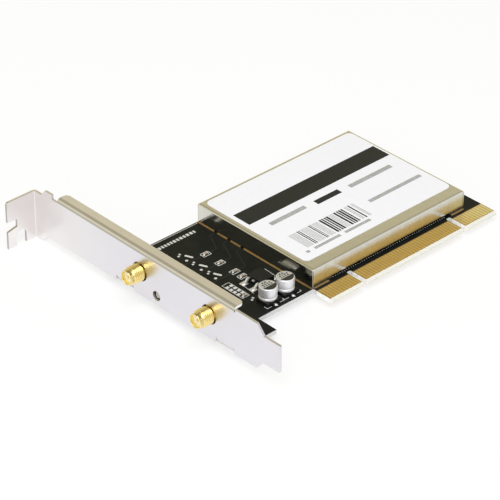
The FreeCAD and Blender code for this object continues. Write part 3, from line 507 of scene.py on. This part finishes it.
BARREL_FRONT = -5.9
LIP_RADIUS = 2.65
LIP_ROUND = 0.16
BORE_RADIUS = 2.25
BORE_ROUND = 0.12
SOCKET_FLOOR = -4.6
THREAD_PITCH = 25.4 / 36
THREAD_CREST = 3.1
THREAD_ROOT = 2.74
THREAD_START, THREAD_END = -4.5, -0.3
THREAD_RUN_IN, THREAD_RUN_OUT = 0.45, 0.12
ROOT_SHARE, FLANK_SHARE = 0.12, 0.62
NECK_RADIUS = 2.9
NECK_STEP = 0.02
NECK_OVERLAP = 0.3
BARREL_SEGMENTS = 72
STEPS_PER_TURN = 10
BLOCK_START, BLOCK_END = 1.46, 8.46
BLOCK_HALF, BLOCK_TOP = 3.2, 3.9
BLOCK_ROUND = 1.2
LEG_INSET, LEG_SIZE = 0.9, 1.0
LEG_STUB = 1.0


def share_of(value, whole):
    """How much of the whole a value is, from none to all of it."""
    return min(1.0, max(0.0, value / whole))


def thread_radius(along, turn):
    """Radius of the thread's surface at a place along the barrel and a share of a turn."""
    phase = ((along - THREAD_START) / THREAD_PITCH - turn) % 1.0
    flank = share_of(abs(2 * phase - 1) - ROOT_SHARE, FLANK_SHARE)
    run_in = share_of(along - THREAD_START, THREAD_RUN_IN)
    run_out = share_of(THREAD_END - along, THREAD_RUN_OUT)
    return THREAD_ROOT + (THREAD_CREST - THREAD_ROOT) * flank * run_in * run_out


def make_jack_barrel(name, rise):
    def place(u, v, along):
        return PLATE_X + along, rise + u, JACK_Z + v

    form = Form()
    front = rounded([(BORE_RADIUS, SOCKET_FLOOR), (BORE_RADIUS, BARREL_FRONT, BORE_ROUND),
                     (LIP_RADIUS, BARREL_FRONT, LIP_ROUND), (LIP_RADIUS, THREAD_START)], steps=4)
    rings = [Form.ring(radius, along, place, BARREL_SEGMENTS) for radius, along in front]
    steps = round((THREAD_END - THREAD_START) / THREAD_PITCH * STEPS_PER_TURN)
    for step in range(steps + 1):
        along = THREAD_START + (THREAD_END - THREAD_START) * step / steps
        ring = []
        for i in range(BARREL_SEGMENTS):
            turn = i / BARREL_SEGMENTS
            radius, angle = thread_radius(along, turn), 2 * math.pi * turn
            ring.append(place(radius * math.cos(angle), radius * math.sin(angle), along))
        rings.append(ring)
    for along in (THREAD_END + NECK_STEP, BLOCK_START + NECK_OVERLAP):
        rings.append(Form.ring(NECK_RADIUS, along, place, BARREL_SEGMENTS))
    form.skin(rings)
    barrel = form.piece(f"jack_barrel_{name}", FINISHES["jack_gold"], "jack_gold", sharp=60)
    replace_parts(barrel, f"jack_shell_{name}")


def make_jack_body(name, rise):
    outline = rounded([(-BLOCK_HALF, -JACK_Z), (BLOCK_HALF, -JACK_Z),
                       (BLOCK_HALF, BLOCK_TOP, BLOCK_ROUND), (-BLOCK_HALF, BLOCK_TOP, BLOCK_ROUND)])
    body = Form().prism(outline, BLOCK_START, BLOCK_END,
                        lambda y, z, x: (PLATE_X + x, rise + y, JACK_Z + z))
    for start in (BLOCK_START + LEG_INSET, BLOCK_END - LEG_INSET - LEG_SIZE):
        for side in (-BLOCK_HALF, BLOCK_HALF - LEG_SIZE):
            x, y = PLATE_X + start, rise + side
            body.prism(rect(x, y, x + LEG_SIZE, y + LEG_SIZE), BOARD_BACK - LEG_STUB, 0.0)
    body.piece(f"jack_body_{name}", FINISHES["jack_gold"], "jack_gold")


for jack_name, jack_rise in JACKS.items():
    make_jack_barrel(jack_name, jack_rise)
    make_jack_body(jack_name, jack_rise)


# Status light: a clear lens with a domed front and a rim at its back

LENS_RADIUS, LENS_DOME = 1.5, 1.35
LENS_FRONT, LENS_BACK = 0.35, 5.75
RIM_RADIUS, RIM_START, RIM_ROUND = 1.9, 4.75, 0.1
LENS_SEGMENTS = 48


def make_light():
    x, y, z = LIGHT
    profile = rounded([(ON_AXIS, LENS_FRONT), (LENS_RADIUS, LENS_FRONT, LENS_DOME),
                       (LENS_RADIUS, RIM_START), (RIM_RADIUS, RIM_START, RIM_ROUND),
                       (RIM_RADIUS, LENS_BACK, RIM_ROUND), (ON_AXIS, LENS_BACK)], steps=8)
    form = Form().turned(profile, lambda u, v, along: (x + along, y + u, z + v), LENS_SEGMENTS)
    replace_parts(form.piece("light_lens", FINISHES["lens"], "lens"), "led_lens")


make_light()


# Capacitors: drawn cans with a crimp, a flared foot and a printed top

CAN_RADIUS = 3.15
CAN_TOP_Z, CAN_TOP_ROUND = 5.8, 0.45
FOOT_RADIUS, FOOT_Z = 3.05, 1.1
FOOT_EDGE_Z, FOOT_EDGE_ROUND = 1.25, 0.06
CRIMP_RADIUS, CRIMP_ROUND = 2.88, 0.15
CRIMP_LOW, CRIMP_HIGH = 2.15, 2.35
BELOW_CRIMP_Z, BELOW_CRIMP_ROUND = 1.75, 0.2
ABOVE_CRIMP_Z, ABOVE_CRIMP_ROUND = 2.75, 0.25
CAN_SEGMENTS = 72
TOP_PRINT_RADIUS = 2.85
POLARITY_CHORD = -0.6
PRINT_ARC_STEPS = 24
MARK_ROWS = [(0.0, 1.9), (0.95, 1.8), (1.85, 1.1)]
MARK_HALF_HEIGHT = 0.3
MARK_GAP = 0.4
LEAST_MARK = 0.3


def make_capacitor_can(name, middle):
    def place(u, v, along):
        return middle[0] + u, middle[1] + v, along

    profile = rounded([(ON_AXIS, FOOT_Z), (FOOT_RADIUS, FOOT_Z),
                       (CAN_RADIUS, FOOT_EDGE_Z, FOOT_EDGE_ROUND),
                       (CAN_RADIUS, BELOW_CRIMP_Z, BELOW_CRIMP_ROUND),
                       (CRIMP_RADIUS, CRIMP_LOW, CRIMP_ROUND),
                       (CRIMP_RADIUS, CRIMP_HIGH, CRIMP_ROUND),
                       (CAN_RADIUS, ABOVE_CRIMP_Z, ABOVE_CRIMP_ROUND),
                       (CAN_RADIUS, CAN_TOP_Z, CAN_TOP_ROUND), (ON_AXIS, CAN_TOP_Z)])
    can = Form().turned(profile, place, CAN_SEGMENTS).piece(
        f"capacitor_drawn_can_{name}", FINISHES["can_aluminium"], "can_aluminium", sharp=50)
    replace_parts(can, f"capacitor_can_{name}")


def make_capacitor_print(name, middle):
    """A grey top, black below a chord, with rows of plain marks."""
    top = CAN_TOP_Z + INK
    first = math.asin(POLARITY_CHORD / TOP_PRINT_RADIUS)

    def arc(start, sweep):
        angles = [start + sweep * (i / PRINT_ARC_STEPS) for i in range(PRINT_ARC_STEPS + 1)]
        return [(middle[0] + TOP_PRINT_RADIUS * math.cos(angle),
                 middle[1] + TOP_PRINT_RADIUS * math.sin(angle)) for angle in angles]

    grey = arc(first, math.pi - 2 * first)
    black = arc(math.pi - first, math.pi + 2 * first)
    printed(f"capacitor_top_{name}", [grey], top, CAN_TOP, "can_aluminium")
    printed(f"capacitor_polarity_{name}", [black], top, CAN_INK, "can_aluminium")
    marks = []
    for row, reach in MARK_ROWS:
        x = -reach
        while x < reach - LEAST_MARK:
            length = random.uniform(0.45, 0.75)
            marks.append(rect(middle[0] + x, middle[1] + row - MARK_HALF_HEIGHT,
                              middle[0] + min(reach, x + length),
                              middle[1] + row + MARK_HALF_HEIGHT))
            x += length + MARK_GAP
    printed(f"capacitor_marks_{name}", marks, top + INK, CAN_INK, "can_aluminium")


for can_name, can_middle in CAPACITORS.items():
    make_capacitor_can(can_name, can_middle)
    make_capacitor_print(can_name, can_middle)


# Voltage regulator: leads bent in soft curves, a cut middle lead and a cooling tab.
# Places along a lead count from the body's middle.

LEAD_START, LEAD_KNEE, LEAD_SLOPE, LEAD_END = 3.02, 3.9, 4.9, 5.825
LEAD_LOW, LEAD_THICK, LEAD_HALF_WIDTH = 1.05, 0.5, 0.38
STUB_LENGTH, STUB_ROUND = 0.7, 0.2
TAB_LENGTH, TAB_HALF_WIDTH = 1.1, 2.6


def make_regulator_leads():
    high = LEAD_LOW + LEAD_THICK
    lead = rounded([(LEAD_START, LEAD_LOW), (LEAD_START, high), (LEAD_KNEE, high, 0.65),
                    (LEAD_SLOPE, LEAD_THICK, 0.4), (LEAD_END, LEAD_THICK, 0.1), (LEAD_END, 0),
                    (LEAD_SLOPE - 0.35, 0, 0.8), (LEAD_KNEE - 0.5, LEAD_LOW, 0.25)])
    stub_end = LEAD_START + STUB_LENGTH
    stub = rounded([(LEAD_START, LEAD_LOW), (LEAD_START, high),
                    (stub_end, high, STUB_ROUND), (stub_end, LEAD_LOW, STUB_ROUND)])
    form = Form()
    x, y = REGULATOR
    for outline, rise in ((lead, -REGULATOR_PITCH), (stub, 0.0), (lead, REGULATOR_PITCH)):
        form.prism(outline, rise - LEAD_HALF_WIDTH, rise + LEAD_HALF_WIDTH,
                   lambda u, v, along: (x - u, y + along, v))
    tab = rect(x + LEAD_START, y - TAB_HALF_WIDTH,
               x + LEAD_START + TAB_LENGTH, y + TAB_HALF_WIDTH)
    form.prism(tab, 0.0, LEAD_THICK)
    made = form.piece("regulator_curved_leads", FINISHES["tin"], "tin", sharp=50)
    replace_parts(made, "regulator_leads")


make_regulator_leads()


# Label print: plain fields and bars. A code field has a start, an end and whether it is heavy.

LABEL_BAR = (-36.8, 43.0, 30.6, 51.1)
LABEL_WORD = (-10.6, 36.6, 0.8, 39.2)
LABEL_LINES = [(-31.4, 37.5, -15.0, 39.5), (5.2, 36.5, 25.6, 38.5), (3.4, 25.3, 28.6, 27.0),
               (-34.4, 17.3, -32.9, 18.6), (-30.6, 17.3, -18.6, 18.6), (-16.4, 17.3, -4.4, 18.6)]
CODE_LOW, CODE_HIGH = 19.7, 29.2
CODE_FIELDS = [(-32.0, -28.6, False), (-28.4, -27.2, True), (-26.6, -23.4, False),
               (-23.0, -21.9, True), (-21.2, -18.4, False), (-18.0, -13.9, True),
               (-13.4, -11.6, False), (-11.2, -6.6, True), (-6.0, -4.6, False),
               (-4.4, -3.4, True), (-2.8, -1.5, False)]
HEAVY_WIDTHS, HEAVY_GAPS = (0.45, 0.6, 0.85), (0.35, 0.5)
FINE_WIDTH, FINE_GAP = 0.3, 0.36
LEAST_BAR = 0.2


def make_label_print():
    level = LABEL_TOP + INK
    printed("label_bar", [rect(*LABEL_BAR)], level, LABEL_INK, "label_paper")
    dark, fine = [], []
    for start, end, heavy in CODE_FIELDS:
        x = start
        while x < end - LEAST_BAR:
            width = random.choice(HEAVY_WIDTHS) if heavy else FINE_WIDTH
            (dark if heavy else fine).append(rect(x, CODE_LOW, min(x + width, end), CODE_HIGH))
            x += width + (random.choice(HEAVY_GAPS) if heavy else FINE_GAP)
    printed("label_code_dark", dark, level, LABEL_INK, "label_paper")
    printed("label_code_fine", fine, level, LABEL_GREY, "label_paper")
    lines = [rect(*corners) for corners in LABEL_LINES]
    printed("label_lines", lines, level, LABEL_GREY, "label_paper")
    printed("label_word", [rect(*LABEL_WORD)], level, LABEL_INK, "label_paper")


make_label_print()


# Board print on the component face: plain strokes, dots and blocks

PRINT_LINE = 0.22
REGULATOR_LINES = [((-55.3, 27.45), (-56.0, 20.3)), ((-43.4, 28.5), (-43.7, 23.0))]
BORDER_LINE, BORDER_WIDTH = ((-81.0, 64.55), (-41.0, 64.55)), 0.25
PILLS = [(-57.0, 51.0), (-57.2, 43.6), (-57.2, 36.6)]
PILL_REACH, PILL_WIDTH = Vector((0.39, -0.92)) * 1.15, 0.95
DOTS, DOT_RADIUS = [(-59.2, 49.7), (-59.3, 42.3), (-59.3, 35.3)], 0.55
SHORT_MARKS = [(-59.0, 53.7), (-58.7, 46.9), (-58.7, 39.4), (-58.5, 18.3)]
CHIP_FRAME, CHIP_FRAME_WIDTH = (1.6, 1.05), 0.28
PAD_FRAME, PAD_FRAME_WIDTH = (-60.8, 20.6, -57.7, 30.6), 0.2
PAD_ROWS, PAD_COLUMNS, PAD_HALF = (23.2, 25.0, 26.8, 28.6), (-60.1, -58.4), 0.6
CAPACITOR_FRAME = 3.75
WORD_START, WORD_END, WORD_LOW, WORD_HIGH, WORD_GAP = -61.6, -44.6, 60.6, 62.0, 0.5


def capacitor_marks(x, y):
    """Corners of a frame round a capacitor's near side, with a small triangle."""
    strokes = []
    for side in SIDES:
        near, far = x + side * CAPACITOR_FRAME, y - CAPACITOR_FRAME
        strokes += [bar((near, far - 0.1), (near, far + 1.6), PRINT_LINE),
                    bar((near + side * 0.1, far), (near - side * 1.9, far), PRINT_LINE)]
    return strokes + [[(x - 0.9, y - 4.1), (x + 0.1, y - 4.9), (x + 0.3, y - 3.9)]]


def make_board_print():
    strokes = [bar(*ends, PRINT_LINE) for ends in REGULATOR_LINES]
    strokes.append(bar(*BORDER_LINE, BORDER_WIDTH))
    for middle in PILLS:
        strokes.append(pill(Vector(middle) - PILL_REACH, Vector(middle) + PILL_REACH, PILL_WIDTH))
    strokes += [disc(middle, DOT_RADIUS) for middle in DOTS]
    for x, y in SHORT_MARKS:
        strokes += [rect(x - 0.9, y - 0.75, x - 0.15, y + 0.05),
                    rect(x + 0.15, y - 0.1, x + 0.9, y + 0.75)]
    for x, y in (*ANTENNA_CHIPS, SUPPLY_CHIP):
        strokes += frame_strokes(block(x, y, *CHIP_FRAME), CHIP_FRAME_WIDTH)
    strokes += frame_strokes(rect(*PAD_FRAME), PAD_FRAME_WIDTH)
    strokes += [block(x, y, PAD_HALF, PAD_HALF) for y in PAD_ROWS for x in PAD_COLUMNS]
    for x, y in CAPACITORS.values():
        strokes += capacitor_marks(x, y)
    x = WORD_START
    while x < WORD_END:
        width = random.uniform(0.7, 1.15)
        strokes.append(rect(x, WORD_LOW, x + width, WORD_HIGH))
        x += width + WORD_GAP
    printed("board_print", strokes, INK, BOARD_INK, "board")


make_board_print()


# Pads under the regulator: start, end and half width, counted from its middle

TAB_PAD = (3.2, 4.9, 3.1)
LEAD_PAD = (-6.7, -4.3, 1.1)


def make_board_pads():
    x, y = REGULATOR
    pads = []
    for pad, rise in ((TAB_PAD, 0.0), (LEAD_PAD, -REGULATOR_PITCH), (LEAD_PAD, REGULATOR_PITCH)):
        start, end, half = pad
        pads.append(rect(x + start, y + rise - half, x + end, y + rise + half))
    printed("board_pads", pads, INK / 3, SOLDER, "tin")


make_board_pads()


# Antenna lines: from the jacks' side of the board, through a chip each, to the shield can

LINE_WIDTH = 0.7
LINE_START_X, LINE_BEND_X, LINE_FEED_X, LINE_END_X = -72.0, -47.0, -43.0, -40.3
LINE_FEEDS = (42.8, 49.35, 55.9)


def make_board_traces():
    traces = []
    for (x, y), feed in zip(ANTENNA_CHIPS, LINE_FEEDS):
        traces += route([(x + 1.0, y), (LINE_BEND_X, y), (LINE_FEED_X, feed), (LINE_END_X, feed)],
                        LINE_WIDTH)
        traces.append(bar((x - 1.0, y), (LINE_START_X, y), LINE_WIDTH))
    printed("board_traces", traces, INK / 2, TRACE, "board")


make_board_traces()


# Vias: a row along the connector and some strewn over the board, open on both faces

VIA_ROW_COUNT, VIA_ROW_PITCH, VIA_ROW_X, VIA_ROW_Y = 53, 1.05, -31.0, 9.7
VIA_ROW_RADIUS, VIA_RADIUS, VIA_SIDES = 0.2, 0.16, 10
VIA_COUNT = 40


def make_vias():
    row = [disc((number * VIA_ROW_PITCH + VIA_ROW_X, VIA_ROW_Y), VIA_ROW_RADIUS, VIA_SIDES)
           for number in range(VIA_ROW_COUNT)]
    printed("via_row", row, INK, VIA_RING, "board")
    vias = [disc((random.uniform(-72, -42), random.uniform(31, 63)), VIA_RADIUS, VIA_SIDES)
            for _ in range(VIA_COUNT)]
    printed("board_vias", vias, INK, TRACE, "board")
    printed("back_via_row", row, BOARD_BACK - INK, VIA_RING, "board", up=False)
    printed("back_vias", vias, BOARD_BACK - INK, TRACE, "board", up=False)


make_vias()


# Traces on the back: from every second contact up to a via

BACK_COUNT = 13
BACK_WIDTH = 0.45
BACK_START_Y, BACK_TURN_Y = 8.2, 13
BACK_TURNS, BACK_TURN_STEP = 4, 1.1
BACK_SLANT = 4
BACK_VIA_RADIUS, BACK_VIA_SIDES = 0.35, 12
KEY_CLEARANCE = 2


def make_back_traces():
    traces, rings = [], []
    for number in range(-BACK_COUNT, BACK_COUNT + 1):
        x = number * 2 * CONTACT_PITCH
        if number == 0 or abs(abs(x) - KEY_X) < KEY_CLEARANCE:
            continue
        turn = BACK_TURN_Y + abs(number) % BACK_TURNS * BACK_TURN_STEP
        corner = (x + math.copysign(BACK_SLANT, x), turn + BACK_SLANT)
        end = (corner[0], corner[1] + random.uniform(4, 26))
        traces += route([(x, BACK_START_Y), (x, turn), corner, end], BACK_WIDTH)
        rings.append(disc(end, BACK_VIA_RADIUS, BACK_VIA_SIDES))
    printed("back_traces", traces, BOARD_BACK - INK, TRACE, "board", up=False)
    printed("back_trace_vias", rings, BOARD_BACK - INK * 2, VIA_RING, "board", up=False)


make_back_traces()


# Solder: fillets round the leads, joints on the back

# How far out and how high a heap is, ring by ring, as shares of its reach and height
MOUND_RINGS = [(1.0, 0.0), (0.92, 0.35), (0.7, 0.75), (0.4, 0.95), (0.02, 1.0)]
MOUND_HALF_TURN = 12


def make_solder():
    form = Form()

    def mound(x, y, reach_x, reach_y, height, level=0.0, side=1):
        """A low rounded heap of solder on the board."""
        rings = []
        for share, lift in MOUND_RINGS:
            angles = [i * math.pi / MOUND_HALF_TURN for i in range(2 * MOUND_HALF_TURN)]
            rings.append([(x + reach_x * share * math.cos(angle),
                           y + reach_y * share * math.sin(angle) * side,
                           level + side * height * lift) for angle in angles])
        form.skin(rings)

    def back_joint(x, y, reach, height):
        mound(x, y, reach, reach, height, BOARD_BACK, -1)

    x, y = REGULATOR
    for side in SIDES:
        mound(x - 5.3, y + REGULATOR_PITCH * side, 1.25, 0.95, 0.4)
    mound(x + 4.1, y, 0.75, 3.0, 0.4)
    for x, y in CAPACITORS.values():
        for side in SIDES:
            mound(x, y + side * CAPACITOR_TERMINAL, 0.6, 0.55, 0.28)
    for x, y in (*ANTENNA_CHIPS, SUPPLY_CHIP, STRAP_CHIP):
        for side in SIDES:
            mound(x + side * CHIP_END, y, 0.35, 0.48, 0.25)
    leg_middle = LEG_SIZE / 2
    for rise in JACKS.values():
        for leg_x in (BLOCK_START + LEG_INSET + leg_middle, BLOCK_END - LEG_INSET - leg_middle):
            for side in SIDES:
                back_joint(PLATE_X + leg_x, rise + side * (BLOCK_HALF - leg_middle), 1.15, 0.8)
        back_joint(JACK_PIN_X, rise, 0.95, 0.75)
    for side in SIDES:
        back_joint(LIGHT_LEAD_X, LIGHT[1] + side * LIGHT_LEAD_OFFSET, 0.8, 0.7)
    form.piece("solder", SOLDER, "tin")


make_solder()


# Floor, light and camera: places in metres, lens and sensor in millimetres

FLOOR_REACH = 6.0
FLOOR_GAP = 0.00002
FLOOR_WHITE = 0.95
FLOOR_GLOW_SHARE = 0.75
LAMP_TINT = (0.95, 0.975, 1.0)
CAMERA_LENS, SENSOR_WIDTH = 180.04, 36.0
NEAREST, FARTHEST = 0.01, 20.0
CAMERA_RIGHT = Vector((0.72976, -0.68369, 0.00480))
CAMERA_UP = Vector((0.37199, 0.40293, 0.83622))
CAMERA_BACK = Vector((-0.57365, -0.60846, 0.54837))
CAMERA_EYE = Vector((-0.521479, -0.471446, 0.461006))


def make_floor():
    """White floor that keeps the shadow; part of what is seen of it glows evenly."""
    mesh = bpy.data.meshes.new("floor")
    corners = rect(-FLOOR_REACH, -FLOOR_REACH, FLOOR_REACH, FLOOR_REACH)
    mesh.from_pydata([(x, y, 0) for x, y in corners], [], [(0, 1, 2, 3)])
    floor = bpy.data.objects.new("floor", mesh)
    floor.location.z = cad_low.z - FLOOR_GAP
    bpy.context.scene.collection.objects.link(floor)
    made = Finish("floor")
    white = made.mottle((FLOOR_WHITE, FLOOR_WHITE, FLOOR_WHITE), 0.004, 3)
    made.set(Base_Color=white, Roughness=0.9, Specular_IOR_Level=0.0)
    glow = made.node("ShaderNodeEmission")
    made.put(glow.inputs["Color"], white)
    glow.inputs["Strength"].default_value = 1.0 / FLOOR_WHITE
    path = made.node("ShaderNodeLightPath")
    seen = made.math("MAXIMUM", path.outputs["Is Camera Ray"],
                     made.math("MAXIMUM", path.outputs["Is Glossy Ray"],
                               path.outputs["Is Transmission Ray"]))
    mix = made.node("ShaderNodeMixShader")
    made.put(mix.inputs[0], made.math("MULTIPLY", seen, FLOOR_GLOW_SHARE))
    made.put(mix.inputs[1], made.surface.outputs[0])
    made.put(mix.inputs[2], glow.outputs[0])
    made.put(made.tree.nodes["Material Output"].inputs["Surface"], mix.outputs[0])
    mesh.materials.append(made.material)


def make_world():
    """Pale studio: brighter in front, a warm grey wall behind the card."""
    world = bpy.data.worlds.new("studio")
    bpy.context.scene.world = world
    world.use_nodes = True
    tree = world.node_tree
    background = tree.nodes["Background"]
    view = tree.nodes.new("ShaderNodeTexCoord").outputs["Generated"]

    def ramp(vector, stops):
        """A colour that changes with how far a direction leans along a vector."""
        lean = tree.nodes.new("ShaderNodeVectorMath")
        lean.operation = "DOT_PRODUCT"
        lean.inputs[1].default_value = vector
        tree.links.new(view, lean.inputs[0])
        colors = tree.nodes.new("ShaderNodeValToRGB")
        while len(colors.color_ramp.elements) < len(stops):
            colors.color_ramp.elements.new(0.5)
        for element, (place, color) in zip(colors.color_ramp.elements, stops):
            element.position, element.color = place, (*color, 1)
        tree.links.new(lean.outputs["Value"], colors.inputs[0])
        return colors.outputs[0]

    height = ramp((0, 0, 1), [(0.0, (0.80, 0.79, 0.77)), (0.52, (0.84, 0.83, 0.81)),
                              (0.72, (0.30, 0.29, 0.25)), (1.0, (0.40, 0.40, 0.40))])
    depth = ramp((0.3, 0.95, 0.0), [(0.0, (1.0, 1.0, 1.0)), (0.45, (0.87, 0.805, 0.58))])
    both = tree.nodes.new("ShaderNodeMix")
    both.data_type, both.blend_type = "RGBA", "MULTIPLY"
    factor, first, second = [both.inputs[number] for number in MIX_INPUTS]
    factor.default_value = 1.0
    tree.links.new(height, first)
    tree.links.new(depth, second)
    tree.links.new(both.outputs[MIX_RESULT], background.inputs["Color"])
    background.inputs["Strength"].default_value = 1.0


def make_lamp(name, location, target, size, power):
    lamp = bpy.data.lights.new(name, "AREA")
    lamp.shape = "DISK"
    lamp.size = size
    lamp.energy = power
    lamp.color = LAMP_TINT
    made = bpy.data.objects.new(name, lamp)
    made.location = location
    made.rotation_euler = (Vector(target) - Vector(location)).to_track_quat("-Z", "Y").to_euler()
    bpy.context.scene.collection.objects.link(made)


def make_camera():
    """The photo's camera."""
    camera = bpy.data.cameras.new("camera")
    camera.sensor_width = SENSOR_WIDTH
    camera.lens = CAMERA_LENS
    camera.clip_start, camera.clip_end = NEAREST, FARTHEST
    made = bpy.data.objects.new("camera", camera)
    columns = (CAMERA_RIGHT, CAMERA_UP, CAMERA_BACK, CAMERA_EYE)
    rows = [[column[i] for column in columns] for i in range(3)]
    made.matrix_world = Matrix(rows + [[0, 0, 0, 1]])
    bpy.context.scene.collection.objects.link(made)
    bpy.context.scene.camera = made


make_floor()
make_world()
middle = (cad_low + cad_high) / 2
make_lamp("overhead", (-0.35, -0.30, 1.1), middle, 1.0, 9.0)
make_lamp("side", (-0.9, -0.5, 0.7), middle, 0.8, 3.0)
make_camera()
bpy.context.scene.view_settings.view_transform = "Standard"
